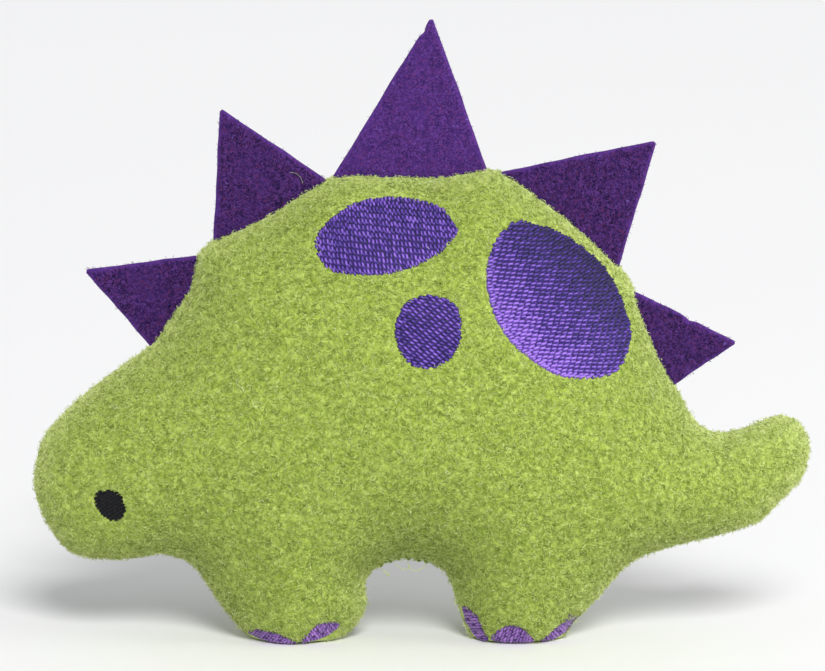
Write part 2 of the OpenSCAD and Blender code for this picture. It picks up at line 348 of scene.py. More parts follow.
def outward_normals(ring):
    """Unit normals that point out of a clockwise ring."""
    way = np.roll(ring, -1, axis=0) - np.roll(ring, 1, axis=0)
    way /= np.linalg.norm(way, axis=1, keepdims=True)
    return np.stack([-way[:, 1], way[:, 0]], axis=1)


def clockwise(ring):
    """The ring, turned round if it isn't clockwise."""
    x, z = ring[:, 0], ring[:, 1]
    area = np.sum(x * np.roll(z, -1) - np.roll(x, -1) * z) / 2
    return ring if area < 0 else ring[::-1]


def signed_distance(points, ring):
    """Distance from each point to the ring: negative inside it."""
    points = np.asarray(points, float)
    a, b = ring, np.roll(ring, -1, axis=0)
    best = np.full(len(points), 1e9)
    inside = np.zeros(len(points), bool)
    for p, q in zip(a, b):
        way = q - p
        t = np.clip(((points - p) @ way) / max(way @ way, 1e-12), 0, 1)
        gap = points - p - t[:, None] * way
        best = np.minimum(best, np.einsum("ij,ij->i", gap, gap))
        if p[1] != q[1]:
            spans = (points[:, 1] > min(p[1], q[1])) & (points[:, 1] <= max(p[1], q[1]))
            cross = p[0] + (points[:, 1] - p[1]) * way[0] / way[1]
            inside ^= spans & (points[:, 0] < cross)
    return np.where(inside, -1, 1) * np.sqrt(best)


def hex_points(low, high, spacing):
    """A grid of points in staggered rows."""
    rows = np.arange(low[1], high[1], spacing * math.sqrt(0.75))
    found = []
    for k, z in enumerate(rows):
        x = np.arange(low[0] + (k % 2) * spacing / 2, high[0], spacing)
        found.append(np.stack([x, np.full(len(x), z)], axis=1))
    return np.vstack(found)


def triangulated(ring, spacing, rim_row=0.0):
    """An even triangle mesh inside a clockwise ring, with the ring's own points on its rim."""
    parts = [ring]
    clear = spacing * 0.62
    if rim_row:
        parts.append(ring - outward_normals(ring) * rim_row)
        clear = rim_row + spacing * 0.5
    grid = hex_points(ring.min(0), ring.max(0), spacing)
    parts.append(grid[signed_distance(grid, ring) < -clear])
    points = np.vstack(parts)
    count = len(ring)
    edges = [(i, (i + 1) % count) for i in range(count)]
    found = geometry.delaunay_2d_cdt([Vector(p) for p in points], edges, [], 1, 1e-5)
    return np.array([tuple(v) for v in found[0]]), [list(f) for f in found[2]]


def is_front(verts, face):
    """Whether a face looks to the front, -Y."""
    a, b, c = (verts[i] for i in face[:3])
    return np.cross(b - a, c - a)[1] < 0


def rim_edges(faces):
    """Directed edges that only one face uses."""
    edges = {}
    for f in faces:
        for a, b in zip(f, list(f[1:]) + [f[0]]):
            edges[(a, b)] = True
    return [e for e in edges if (e[1], e[0]) not in edges]


def closed_layer(verts, faces):
    """Faces of a closed layer: the first half of the points is its front, the second its back."""
    count = len(verts) // 2
    upper = [f if is_front(verts, f) else f[::-1] for f in faces]
    lower = [[i + count for i in f[::-1]] for f in upper]
    walls = [(b, a, a + count, b + count) for a, b in rim_edges(upper)]
    return upper + lower + walls


def noise_at(points, scale, offset=0.0):
    """Smooth noise from -1 to 1 at each point, with features about 1 / scale wide."""
    return np.array([noise.noise(Vector(p)) for p in np.asarray(points) * scale + offset])


def smoothstep(x, low, high):
    """0 below low and 1 above high, with a smooth rise between them."""
    t = np.clip((x - low) / (high - low), 0, 1)
    return t * t * (3 - 2 * t)


# ---- The stuffed body ----
def fitted_seam():
    """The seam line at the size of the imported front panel, with the feet drawn out below the floor."""
    ring = smooth_loop(SEAM, 8)
    low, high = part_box("front_panel")
    scale_x = (high.x - low.x) / MM / np.ptp(ring[:, 0])
    ring[:, 0] = low.x / MM + (ring[:, 0] - ring[:, 0].min()) * scale_x
    ring[:, 1] *= high.z / MM / ring[:, 1].max()
    drawn = np.clip(1 - ring[:, 1] / FOOT_HEIGHT, 0, None) ** 2
    ring[:, 1] -= FOOT_STRETCH * np.minimum(drawn, 1.6)
    return clockwise(ring)


def pillow_height(ring, pitch=0.5):
    """How a filled skin rises over the seam line: the Poisson equation on a grid, as a lookup."""
    low, high = ring.min(0) - 2 * pitch, ring.max(0) + 2 * pitch
    x = np.arange(low[0], high[0], pitch)
    z = np.arange(low[1], high[1], pitch)
    places = np.stack(np.meshgrid(x, z, indexing="ij"), axis=-1).reshape(-1, 2)
    mask = (signed_distance(places, ring) < 0).reshape(len(x), len(z)).astype(float)

    def stiffness(u):
        out = 4 * u
        out[1:-1, 1:-1] -= u[:-2, 1:-1] + u[2:, 1:-1] + u[1:-1, :-2] + u[1:-1, 2:]
        return out * mask

    u = np.zeros_like(mask)
    left = mask * pitch**2
    way = left.copy()
    power = np.sum(left * left)
    for _ in range(900):
        pushed = stiffness(way)
        step = power / np.sum(way * pushed)
        u += step * way
        left -= step * pushed
        fresh = np.sum(left * left)
        if fresh < 1e-10:
            break
        way = left + fresh / power * way
        power = fresh

    def look_up(points):
        f = (points - low) / pitch
        i = np.clip(f.astype(int), 0, np.array(u.shape) - 2)
        f = f - i
        corner = [u[i[:, 0] + a, i[:, 1] + b] for a in (0, 1) for b in (0, 1)]
        return ((corner[0] * (1 - f[:, 1]) + corner[1] * f[:, 1]) * (1 - f[:, 0])
                + (corner[2] * (1 - f[:, 1]) + corner[3] * f[:, 1]) * f[:, 0])

    return look_up


def body_depth(points, ring, height, target):
    """Half the depth of the body at each point: round in the middle, with a crease at the seam."""
    inward = np.maximum(-signed_distance(points, ring), 1e-4)
    swell = np.sqrt(np.maximum(height(points), 1e-6))
    swell *= target / swell.max()
    crease = SEAM_SLOPE * inward + 0.02
    return (swell**-3 + crease**-3) ** (-1 / 3)


def puckers(points, ring, seed):
    """Small gathers across the seam, as a share of the depth."""
    tree_ring = resampled(ring, 0.4)
    nearest = np.array([np.argmin(np.sum((tree_ring - p) ** 2, axis=1)) for p in points])
    along = nearest * 0.4
    inward = np.maximum(-signed_distance(points, ring), 0)
    wander = noise_at(np.stack([along, inward, np.full(len(points), seed)], axis=1), 0.12) * 3
    wave = np.sin(2 * math.pi * along / PUCKER_PITCH + wander)
    return 1 + PUCKER_DEPTH * np.exp(-inward / 1.8) * wave


def floor_pressed(verts):
    """Feet pressed flat on the floor."""
    verts[:, 2] = np.maximum(verts[:, 2], 0)
    return verts


FINE_SEAM = fitted_seam()
SEAM_RING = resampled(FINE_SEAM, PANEL_SPACING)
PILLOW = pillow_height(FINE_SEAM)
TARGET_DEPTH = -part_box("front_panel")[0].y / MM - PILE_ROOM


def smooth_panel(name, side, seed):
    """One panel without its pile, before subdivision."""
    flat, faces = triangulated(SEAM_RING, PANEL_SPACING, RIM_ROW)
    depth = body_depth(flat, FINE_SEAM, PILLOW, TARGET_DEPTH) * puckers(flat, FINE_SEAM, seed)
    rim = -signed_distance(flat, SEAM_RING) < 1e-4
    depth[rim] = 0
    uneven = 1 + 0.025 * noise_at(np.column_stack([flat, np.full(len(flat), seed)]), 0.07)
    verts = np.stack([flat[:, 0], side * depth * uneven, flat[:, 1]], axis=1)
    verts = floor_pressed(verts)
    if side > 0:
        faces = [f[::-1] for f in faces]
    mesh = bpy.data.meshes.new(name)
    mesh.from_pydata(verts.tolist(), [], faces)
    if side * mesh.polygons[len(faces) // 2].normal.y < 0:
        mesh.flip_normals()
    piece = bpy.data.objects.new(name, mesh)
    bpy.context.scene.collection.objects.link(piece)
    return piece


def applied(piece):
    """Applies every modifier of a piece to its mesh."""
    graph = bpy.context.evaluated_depsgraph_get()
    mesh = bpy.data.meshes.new_from_object(piece.evaluated_get(graph))
    piece.modifiers.clear()
    piece.data = mesh
    return piece


def subdivided(piece, levels):
    modifier = piece.modifiers.new("smooth", "SUBSURF")
    modifier.levels = modifier.render_levels = levels
    return applied(piece)


def mesh_points(mesh):
    co = np.empty(len(mesh.vertices) * 3)
    mesh.vertices.foreach_get("co", co)
    return co.reshape(-1, 3)


def mesh_normals(mesh):
    no = np.empty(len(mesh.vertices) * 3, np.float32)
    mesh.vertices.foreach_get("normal", no)
    return no.reshape(-1, 3).astype(float)


# ---- Embroidery outlines ----
# Outlines as (x, z): smooth loops for the spots and the eye, straight lines between the points of
# the claws. The claws differ by up to 0.4 mm from the frame's; the others are the same.
SPOT_POINTS = {
    "upper_spot": [(4.3, 50.1), (2.3, 52.5), (-1, 53.3), (-4.2, 53.5), (-7.6, 53), (-10.5, 51.3),
                   (-12.4, 48.7), (-10.8, 45.9), (-7.6, 45.4), (-4.2, 45.5), (-1, 46.2),
                   (2.1, 47.8)],
    "small_spot": [(4.7, 39.4), (4, 42.1), (1.4, 43.2), (-1.4, 42.6), (-2.9, 40.3), (-2.8, 37.6),
                   (-1.1, 35.3), (1.7, 35), (4, 36.7)],
    "large_spot": [(9, 49.5), (7.6, 46.2), (8, 42.3), (9.6, 38.8), (12.3, 36), (15.6, 33.8),
                   (19.5, 33), (23, 33.6), (24.6, 36.8), (23.8, 40.6), (22.1, 44.2), (19.4, 47),
                   (16.2, 49.3), (13.1, 50.5), (11.1, 50.9)],
    "eye": [(-34.8, 17.7), (-35.4, 19), (-36.9, 19.3), (-38.2, 18.6), (-38.2, 17.3), (-37.4, 16.1),
            (-36, 15.5), (-34.8, 16.3)],
}
CLAW_POINTS = {
    "front_claw_1": [(-20.6, 0.9), (-19.5, 1.8), (-18.3, 1.9), (-16.6, 1.5), (-15.1, 0.7),
                     (-14.4, 0.1), (-17.3, 0.1), (-19, 0.3)],
    "front_claw_2": [(-14.3, 0.1), (-14, 1), (-13.1, 1.9), (-12.4, 2.6), (-11.6, 3), (-10, 2.9),
                     (-9.6, 2.3), (-10, 1.6), (-11.1, 0.9), (-12.3, 0.5)],
    "rear_claw_1": [(4.8, 4), (5.1, 4.4), (6, 4), (6.8, 3.4), (7.1, 2.4), (7.5, 1.5), (8.1, 0.6),
                    (7.5, 0.2), (6.6, 0.2), (5.9, 1), (5.3, 2.1)],
    "rear_claw_2": [(8.2, 0.6), (8.8, 1.7), (10, 2.6), (11.2, 2.7), (12.3, 2.1), (12.9, 1.3),
                    (13.6, 0.3), (12.4, 0.2), (9, 0.2)],
    "rear_claw_3": [(13.7, 0.1), (15, 1.2), (16.1, 2), (17.1, 2.5), (18.7, 3), (18, 1.9),
                    (17.2, 0.9), (15.8, 0.3)],
}
OUTLINES = {}
for spot, points in SPOT_POINTS.items():
    OUTLINES[spot] = clockwise(resampled(smooth_loop(points, 6), 0.3))
for claw, points in CLAW_POINTS.items():
    OUTLINES[claw] = clockwise(resampled(np.array(points), 0.25))


def embroidery_distance(points):
    """Distance from each [x, z] point to the nearest embroidery, negative inside."""
    best = np.full(len(points), 1e3)
    for ring in OUTLINES.values():
        near = np.all((points > ring.min(0) - 3) & (points < ring.max(0) + 3), axis=1)
        if near.any():
            best[near] = np.minimum(best[near], signed_distance(points[near], ring))
    return best


# ---- Fleece ----
def sunk(points, normals, front):
    """The cloth pulled in under the embroidery, on the front panel."""
    if not front:
        return points, np.full(len(points), 1e3)
    away = embroidery_distance(points[:, [0, 2]])
    pull = STITCH_SINK * (1 - smoothstep(away, -0.4, 0.9))
    return points - normals * pull[:, None], away


def tufts(points):
    """Soft lumps of pile, 0 to 1, a little wider than they are tall."""
    warped = points * np.array([1, 1, 1.25])
    shift = np.stack([noise_at(points, 0.5, k * 17.0) for k in range(3)], axis=1) * 0.45
    near = np.array([noise.voronoi(Vector(p))[0][0] for p in warped + shift])
    return np.clip(1 - (near / 0.75) ** 2, 0, 1)


def fleece_panel(name, side, seed):
    """A panel with the lumps of its pile in its mesh, and a lookup of its smooth surface."""
    piece = subdivided(smooth_panel(name, side, seed), 2)
    mesh = piece.data
    points, away = sunk(mesh_points(mesh), mesh_normals(mesh), side < 0)
    faces = [tuple(p.vertices) for p in mesh.polygons]
    surface = BVHTree.FromPolygons(points.tolist(), faces)
    mesh.vertices.foreach_set("co", points.ravel())
    mesh.update()
    normals = mesh_normals(mesh)
    lump = tufts(points)
    grain = noise_at(points, 2.1, 5.0)
    seam_fade = 0.45 + 0.55 * smoothstep(np.abs(points[:, 1]), 0.1, 2.0)
    bare = smoothstep(away, -0.25, 0.35)
    sole = smoothstep(points[:, 2], 0.02, 0.7)
    rise = (TUFT_HEIGHT * lump + GRAIN_HEIGHT * grain) * seam_fade * bare * sole
    points = points + normals * rise[:, None]
    points[:, 2] = np.maximum(points[:, 2], 0)
    mesh.vertices.foreach_set("co", (points * MM).ravel())
    mesh.update()
    # Painted shade, stored for the material: darker where the pile is low between the tufts
    painted_hollow_shade = np.clip(0.22 - 0.35 * lump - 0.3 * grain, 0, 0.4) * bare
    # Painted sheen, stored for the material: paler pile close to the seam
    rim = 0.5 * np.exp(-np.abs(points[:, 1]) / RIM_SHEEN_DEPTH) * bare
    set_values(mesh, {"painted_hollow_shade": painted_hollow_shade, "rim": rim})
    mesh.materials.append(FLEECE)
    mesh.shade_smooth()
    return piece, surface


def fibre_tubes(root, bend, tip, radius):
    """Thin three-sided fibres that taper to a point, from arrays of root, bend and tip points."""
    way = tip - root
    way /= np.linalg.norm(way, axis=1, keepdims=True)
    side = np.cross(way, np.array([0.31, 0.52, 0.8]))
    side /= np.linalg.norm(side, axis=1, keepdims=True)
    third = np.cross(way, side)
    rings = []
    for centre, share in ((root, 1.0), (bend, 0.8)):
        for k in range(3):
            angle = 2 * math.pi * k / 3
            spoke = math.cos(angle) * side + math.sin(angle) * third
            rings.append(centre + spoke * radius[:, None] * share)
    verts = np.stack(rings + [tip], axis=1)
    base = np.arange(len(root))[:, None] * 7
    quads = np.array([[0, 1, 4, 3], [1, 2, 5, 4], [2, 0, 3, 5]])
    caps = np.array([[3, 4, 6], [4, 5, 6], [5, 3, 6]])
    faces = [tuple(f) for f in (base[:, :, None] + quads).reshape(-1, 4)]
    faces += [tuple(f) for f in (base[:, :, None] + caps).reshape(-1, 3)]
    return verts.reshape(-1, 3), faces


def pile(name, panel, front, count):
    """Single curled fibres over a panel."""
    mesh = panel.data
    points, normals = mesh_points(mesh) / MM, mesh_normals(mesh)
    quads = np.array([tuple(p.vertices)[:4] for p in mesh.polygons])
    a, b, c, d = (points[quads[:, k]] for k in range(4))
    area = np.linalg.norm(np.cross(c - a, d - b), axis=1) / 2
    pick = random_numbers.choice(len(quads), size=count, p=area / area.sum())
    u, v = random_numbers.random((2, count, 1))
    root = (a[pick] * (1 - u) + b[pick] * u) * (1 - v) + (d[pick] * (1 - u) + c[pick] * u) * v
    normal = normals[quads[pick]].mean(axis=1)
    normal /= np.linalg.norm(normal, axis=1, keepdims=True)
    keep = root[:, 2] > 0.5
    if front:
        keep &= embroidery_distance(root[:, [0, 2]]) > 0.05
    root, normal = root[keep], normal[keep]
    count = len(root)
    lie = random_numbers.normal(size=(count, 3))
    lie -= normal * np.einsum("ij,ij->i", lie, normal)[:, None]
    lie /= np.linalg.norm(lie, axis=1, keepdims=True)
    curl = np.cross(normal, lie)
    length = random_numbers.uniform(0.35, 0.85, (count, 1))
    stand = random_numbers.uniform(0.05, 0.3, (count, 1))
    turn = random_numbers.normal(0, 0.45, (count, 1))
    bend = root + lie * length * 0.5 + normal * stand
    droop = normal * stand * random_numbers.uniform(0.3, 1.1, (count, 1))
    tip = root + lie * length * 0.85 + curl * turn * length + droop
    start = root - normal * 0.06
    verts, faces = fibre_tubes(start, bend, tip, random_numbers.uniform(0.03, 0.06, count))
    verts[:, 2] = np.maximum(verts[:, 2], 0.02)
    # A random tone for each fibre, plus painted sheen that makes fibres near the seam paler
    shade = random_numbers.beta(2.2, 2.2, count) + 0.3 * np.exp(-np.abs(root[:, 1]) / RIM_SHEEN_DEPTH)
    return new_piece(name, verts, faces, PILE, {"shade": np.repeat(np.clip(shade, 0, 1), 7)})


# ---- Stitches ----
class Surface:
    """Where the smooth front of the toy is, and its normal, at [x, z] points."""

    def __init__(self, tree):
        self.tree = tree

    def at(self, x, z):
        place, normal, _, _ = self.tree.ray_cast(Vector((x, -60.0, z)), Vector((0, 1, 0)))
        if place is None:
            place, normal, _, _ = self.tree.find_nearest(Vector((x, -3.0, z)))
        if normal.y > 0:
            normal = -normal
        return np.array(place), np.array(normal)

    def many(self, flat):
        found = [self.at(x, z) for x, z in flat]
        return np.array([f[0] for f in found]), np.array([f[1] for f in found])


def tube_rings(centre, normal, radius, sides, twist):
    """Rings of a thread along a line of points, with two twisted plies if twist is over 0, and the
    painted light at each point: a painted highlight on the top of the thread and of each ply, painted
    shade on its sides and in the grooves."""
    way = np.gradient(centre, axis=0)
    way /= np.linalg.norm(way, axis=1, keepdims=True) + 1e-9
    side = np.cross(way, normal)
    side /= np.linalg.norm(side, axis=1, keepdims=True) + 1e-9
    up = np.cross(side, way)
    reach = np.concatenate([[0], np.cumsum(np.linalg.norm(np.diff(centre, axis=0), axis=1))])
    angle = 2 * math.pi * np.arange(sides) / sides
    ply = twist * np.cos(2 * angle[None, :] - 2 * math.pi * reach[:, None] / PLY_PITCH)
    r = np.asarray(radius).reshape(-1, 1) * (1 + ply)
    rings = (centre[:, None] + side[:, None] * (np.sin(angle) * r)[..., None]
             + up[:, None] * (np.cos(angle) * r * THREAD_FLAT)[..., None])
    return rings, 0.34 * (np.cos(angle)[None, :] - 0.55) + 1.1 * ply


def ring_faces(rings, sides, start):
    """Faces of a closed tube whose rings' points begin at start."""
    faces = []
    for i in range(rings - 1):
        for k in range(sides):
            n = (k + 1) % sides
            a, b = start + i * sides, start + (i + 1) * sides
            faces.append((a + k, a + n, b + n, b + k))
    faces.append(tuple(start + k for k in reversed(range(sides))))
    faces.append(tuple(start + (rings - 1) * sides + k for k in range(sides)))
    return faces


class Threads:
    """Collects the threads of one embroidery or seam into one mesh."""

    def __init__(self):
        self.verts, self.faces, self.shades, self.count = [], [], [], 0

    def add(self, centre, normal, radius, shade, sides=8, twist=0.0):
        # light is the painted highlight and shade that tube_rings gives each point
        rings, light = tube_rings(centre, normal, radius, sides, twist)
        self.faces += ring_faces(len(rings), sides, self.count)
        self.verts.append(rings.reshape(-1, 3))
        self.shades.append(np.clip(np.reshape(shade, (-1, 1)) + light, 0, 1).ravel())
        self.count += len(rings) * sides

    def piece(self, name, material):
        shades = {"shade": np.concatenate(self.shades)}
        return new_piece(name, np.vstack(self.verts), self.faces, material, shades)


def row_spans(ring, along, across, pitch):
    """Chords of a ring, one per row of stitches: (distance across, start, end)."""
    s, t = ring @ along, ring @ across
    spans = []
    for level in np.arange(t.min() + pitch * 0.4, t.max(), pitch):
        cross = []
        for i in range(len(ring)):
            t0, t1 = t[i], t[(i + 1) % len(ring)]
            if (t0 - level) * (t1 - level) < 0:
                cross.append(s[i] + (level - t0) / (t1 - t0) * (s[(i + 1) % len(ring)] - s[i]))
        if len(cross) >= 2 and max(cross) - min(cross) > 0.25:
            spans.append((level, min(cross), max(cross)))
    return spans


def sewn_patch(name, surface, angle, material, pitch=ROW_PITCH, stitch=STITCH, ragged=0.16,
               tone=0.5, sheen=0.0):
    """A filled area of stitches: rows in the thread's direction, split in a brick pattern. The tone
    is how light the threads are, and the sheen a painted sheen: how much lighter they are to the
    lower left. Each stitch also gets painted shade where it dips into the cloth."""
    ring = OUTLINES[name]
    middle, reach = ring.mean(axis=0), np.ptp(ring, axis=0).max() / 2
    lift = 0.12
    turn = math.radians(angle)
    along = np.array([math.cos(turn), math.sin(turn)])
    across = np.array([-math.sin(turn), math.cos(turn)])
    threads = Threads()
    for k, (level, start, end) in enumerate(row_spans(ring, along, across, pitch)):
        start -= random_numbers.uniform(-0.05, ragged)
        end += random_numbers.uniform(-0.05, ragged)
        offset = stitch * ((k * 0.37) % 1.0)
        first = math.ceil((start - offset) / stitch) * stitch + offset
        breaks = [b + random_numbers.uniform(-0.08, 0.08) for b in np.arange(first, end, stitch)]
        stops = [start] + [b for b in breaks if start + 0.5 < b < end - 0.5] + [end]
        for a, b in zip(stops[:-1], stops[1:]):
            samples = max(6, int((b - a) / 0.11))
            u = np.linspace(0, 1, samples)
            wander = level + random_numbers.normal(0, 0.02) + 0.02 * np.sin(u * 9 + k)
            flat = np.outer(a + (b - a) * u, along) + np.outer(np.broadcast_to(wander, u.shape), across)
            place, normal = surface.many(flat)
            edge = np.minimum(u, 1 - u) * (b - a)
            sunk_end = 0.3 * np.exp(-edge / 0.12)
            centre = place + normal * (lift - sunk_end)[:, None]
            radius = THREAD_R * pitch / ROW_PITCH * (1 - 0.25 * np.exp(-edge / 0.12))
            # Each thread its own random tone, with painted shade where the stitch dips into the cloth at
            # each end
            shade = tone + random_numbers.uniform(-0.14, 0.14) - 0.5 * np.exp(-edge / 0.1)
            # Painted sheen: lighter towards the lower left
            shade -= sheen * np.sum(flat - middle, axis=1) / reach
            threads.add(centre, normal, radius, shade, twist=0.17)
    return threads.piece(name + "_threads", material)


def patch_layer(ring, surface, top, bottom, spacing=0.7):
    """A thin layer that follows the front between two heights, as points and faces."""
    flat, faces = triangulated(ring, spacing)
    place, normal = surface.many(flat)
    verts = np.vstack([place + normal * top, place + normal * bottom])
    return verts, closed_layer(verts, faces)


def embroider(name, surface, angle, material, slot, **look):
    """The threads of one embroidery, with the ground of thread that closes the gaps under them, in the
    thread's darkest tone as painted shade.
    """
    threads = sewn_patch(name, surface, angle, material, **look)
    ring = OUTLINES[name]
    ground_ring = ring - outward_normals(ring) * 0.12
    verts, faces = patch_layer(ground_ring, surface, 0.04, -0.25)
    # The ground takes the darkest stop of the thread's ramp: painted shade in the gaps
    ground = new_piece(name + "_ground", verts, faces, material, {"shade": np.full(len(verts), 0.1)})
    finish_piece(threads, "toy", slot, name)
    finish_piece(ground, "toy", slot)


def backing(name, surface):
    """The stabilizer left behind an embroidery, under the fleece."""
    node = frame["nodes"][name]
    points = mesh_points(node.data)[:, [0, 2]] / MM
    hull = geometry.convex_hull_2d([Vector(p) for p in points])
    ring = clockwise(resampled(points[hull], 0.6))
    if name.endswith("foot_backing"):
        ring = ring[ring[:, 1] > 1.2]
    verts, faces = patch_layer(ring, surface, -BACKING_DEPTH, -BACKING_DEPTH - BACKING_T, 1.0)
    finish_piece(new_piece(name + "_sheet", verts, faces, STABILIZER), "toy", "stabilizer", name)


# ---- Seam, closing stitches and fill ----
def seam_threads():
    """Lockstitches just inside the seam, one thread on each side of the cloth."""
    ring = resampled(FINE_SEAM, SEAM_STITCH)
    inside = ring - outward_normals(ring) * SEAM_INSET
    threads = Threads()
    for k in range(len(inside)):
        a, b = inside[k], inside[(k + 1) % len(inside)]
        if min(a[1], b[1]) < 0.9:
            continue
        for side in (-1, 1):
            u = np.linspace(0, 1, 6)
            y = side * 0.3 * np.sin(math.pi * u)
            flat = a + (b - a) * u[:, None]
            centre = np.stack([flat[:, 0], y, flat[:, 1]], axis=1)
            threads.add(centre, np.tile([0.0, side, 0.0], (6, 1)), 0.12, random_numbers.random(), sides=6)
    finish_piece(threads.piece("seam_threads", GREEN_THREAD), "toy", "green_thread", "seam_stitches")


def closing_threads():
    """Ladder stitches over the turning gap, with a few loose ends, on the belly seam."""
    low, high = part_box("closing_stitches")
    threads = Threads()
    steps = np.linspace(low.x / MM, high.x / MM, 6)
    under = FINE_SEAM[(FINE_SEAM[:, 1] > 8) & (FINE_SEAM[:, 1] < 12)]
    places = [(x, under[np.argmin(np.abs(under[:, 0] - x)), 1]) for x in steps]
    for k, (x, z) in enumerate(places):
        u = np.linspace(-1, 1, 9)
        centre = np.stack([x + 0.25 * u + 0.1 * math.sin(k * 2.1), 1.1 * u, z - 0.22 + 0.5 * u**2], axis=1)
        down = np.tile([0.0, 0.0, -1.0], (9, 1))
        threads.add(centre, down, 0.13, random_numbers.random(), sides=6, twist=0.1)
    for k, (x, z) in enumerate(places[::2]):
        u = np.linspace(0, 1, 10)
        loop = [x + 1.1 * np.sin(u * 2.6 + k), -0.9 - 0.9 * u, z - 0.2 - 0.9 * np.sin(u * 3.0)]
        centre = np.stack(loop, axis=1)
        threads.add(centre, np.tile([0.0, -1.0, 0.0], (10, 1)), 0.035, 0.9, sides=5)
    piece = threads.piece("closing_threads", GREEN_THREAD)
    finish_piece(piece, "toy", "green_thread", "closing_stitches")


def fibre_fill():
    """The fill as one soft lump inside the panels."""
    ring = clockwise(resampled(FINE_SEAM - outward_normals(FINE_SEAM) * FILL_INSET, 2.2))
    flat, faces = triangulated(ring, 2.2)
    depth = body_depth(flat, FINE_SEAM, PILLOW, TARGET_DEPTH) - 2.4
    depth = np.maximum(depth, 0.3)
    rough = 1 - 0.06 * np.abs(noise_at(np.column_stack([flat, flat[:, :1] * 0]), 0.35))
    half = np.stack([flat[:, 0], -depth * rough, flat[:, 1]], axis=1)
    verts = np.vstack([half, half * np.array([1, -1, 1])])
    verts[:, 2] = np.maximum(verts[:, 2], 1.9)
    piece = new_piece("fibre_lump", verts, closed_layer(verts, faces), FILL)
    subdivided(piece, 1)
    finish_piece(piece, "toy", "fibre_fill", "fibre_fill")


# ---- Felt spikes ----
# How far each tip leans forward, how much lighter its felt is, and a scissor nick in its first cut
# as (share of the way up, depth), in mm
SPIKES = {
    "neck_spike": (0.3, 0.0, None),
    "shoulder_spike": (-0.5, 0.0, None),
    "back_spike": (0.4, 0.2, (0.93, 0.35)),
    "hip_spike": (-0.3, 0.0, None),
    "tail_spike": (0.5, 0.0, (0.60, 0.30)),
}


def joint_of(body):
    return next(j for j in frame["joints"] if j["child"] == body)


def spike_axes(name):
    """The hinge as its middle in mm, its direction and the way out of the body, and where the CAD
    spike's points are along the last two."""
    joint = joint_of(name)
    middle = np.array(joint["pos_m"]) / MM
    along = np.array(joint["axis"], float)
    out = np.array([-along[2], 0, along[0]])
    points = mesh_points(frame["nodes"][name].data) / MM - middle
    if (points @ out).max() < -(points @ out).min():
        out = -out
    return (middle, along, out), points @ along, points @ out


def cut_edge(a, b, nick, seed):
    """Points of a scissor cut from a to b: nearly straight, with a nick if it has one."""
    length = np.linalg.norm(b - a)
    u = np.linspace(0, 1, max(3, int(length / FELT_SPACING)), endpoint=False)
    side = np.array([-(b - a)[1], (b - a)[0]]) / length
    wobble = 0.05 * np.sin(u * 7 + seed) + 0.03 * np.sin(u * 23 + seed * 2)
    wobble = wobble * np.sin(math.pi * np.clip(u, 0, 1))
    if nick:
        wobble = wobble - nick[1] * np.exp(-((u - nick[0]) * length / 0.35) ** 2)
    return a + (b - a) * u[:, None] + side * wobble[:, None]


def felt_points(hinge, flat, y):
    """Points in space from places on a spike's flat pattern, [along, out], and their depths."""
    middle, along, out = hinge
    return middle + np.outer(flat[:, 0], along) + np.outer(flat[:, 1], out) + np.outer(y, [0, 1, 0])


def bend_felt(piece):
    """Bakes a piece's transform into its mesh."""
    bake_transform(piece)


def felt_spike(name, number):
    """One piece of felt: the triangle outside the seam and the tab inside it. Returns its hinge,
    its outline and half its thickness."""
    hinge, us, vs = spike_axes(name)
    lean, light, nick = SPIKES[name]
    base = us[np.abs(vs) < 0.65]
    u0, u1 = base.min() - BASE_TRIM, base.max() + BASE_TRIM
    top = vs.argmax()
    tip = np.array([us[top], vs[top]])
    left, right = np.array([u0, -HINGE_TO_SEAM]), np.array([u1, -HINGE_TO_SEAM])
    left, right = (corner + (corner - tip) * BASE_SINK / (tip[1] - corner[1]) for corner in (left, right))
    tab_left = np.array([u0 + BASE_TRIM, -FELT_INSIDE])
    tab_right = np.array([u1 - BASE_TRIM, -FELT_INSIDE])
    blunt = 0.22 * (right - left) / np.linalg.norm(right - left)
    corners = [left, tip - blunt, tip + blunt, right, tab_right, tab_left]
    nicks = [nick] + [None] * 5
    ring = np.vstack([
        cut_edge(corners[i], corners[(i + 1) % 6], nicks[i], number + i) for i in range(6)
    ])
    ring = clockwise(ring)
    flat, faces = triangulated(ring, FELT_SPACING)
    inward = -signed_distance(flat, ring)
    thick = (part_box(name)[1].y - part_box(name)[0].y) / MM / 2
    half = thick * (1 - 0.4 * np.exp(-np.maximum(inward, 0) / 0.22)) - 0.08
    rise = np.clip(flat[:, 1], 0, None) / tip[1]
    bow = -lean * rise**1.5 + 0.12 * rise * np.sin(flat[:, 0] * 0.5 + number)
    keyed = np.column_stack([flat, np.full(len(flat), number * 9.0)])
    verts = []
    for face_side, key in ((-1, 0.0), (1, 40.0)):
        fuzz = FELT_ROUGH * noise_at(keyed, 1.3, key) * smoothstep(inward, 0.0, 0.4)
        y = bow + face_side * (half + fuzz)
        verts.append(felt_points(hinge, flat, y))
    verts = np.vstack(verts)
    edge = np.tile(light + (0.5 - light) * np.exp(-np.maximum(inward, 0) / 0.12), 2)
    piece = new_piece(name + "_felt", verts, closed_layer(verts, faces), FELT, {"edge": edge})
    subdivided(piece, 1)
    bend_felt(piece)
    finish_piece(piece, None, "purple_felt", name, name + "_tab")
    return hinge, ring, thick


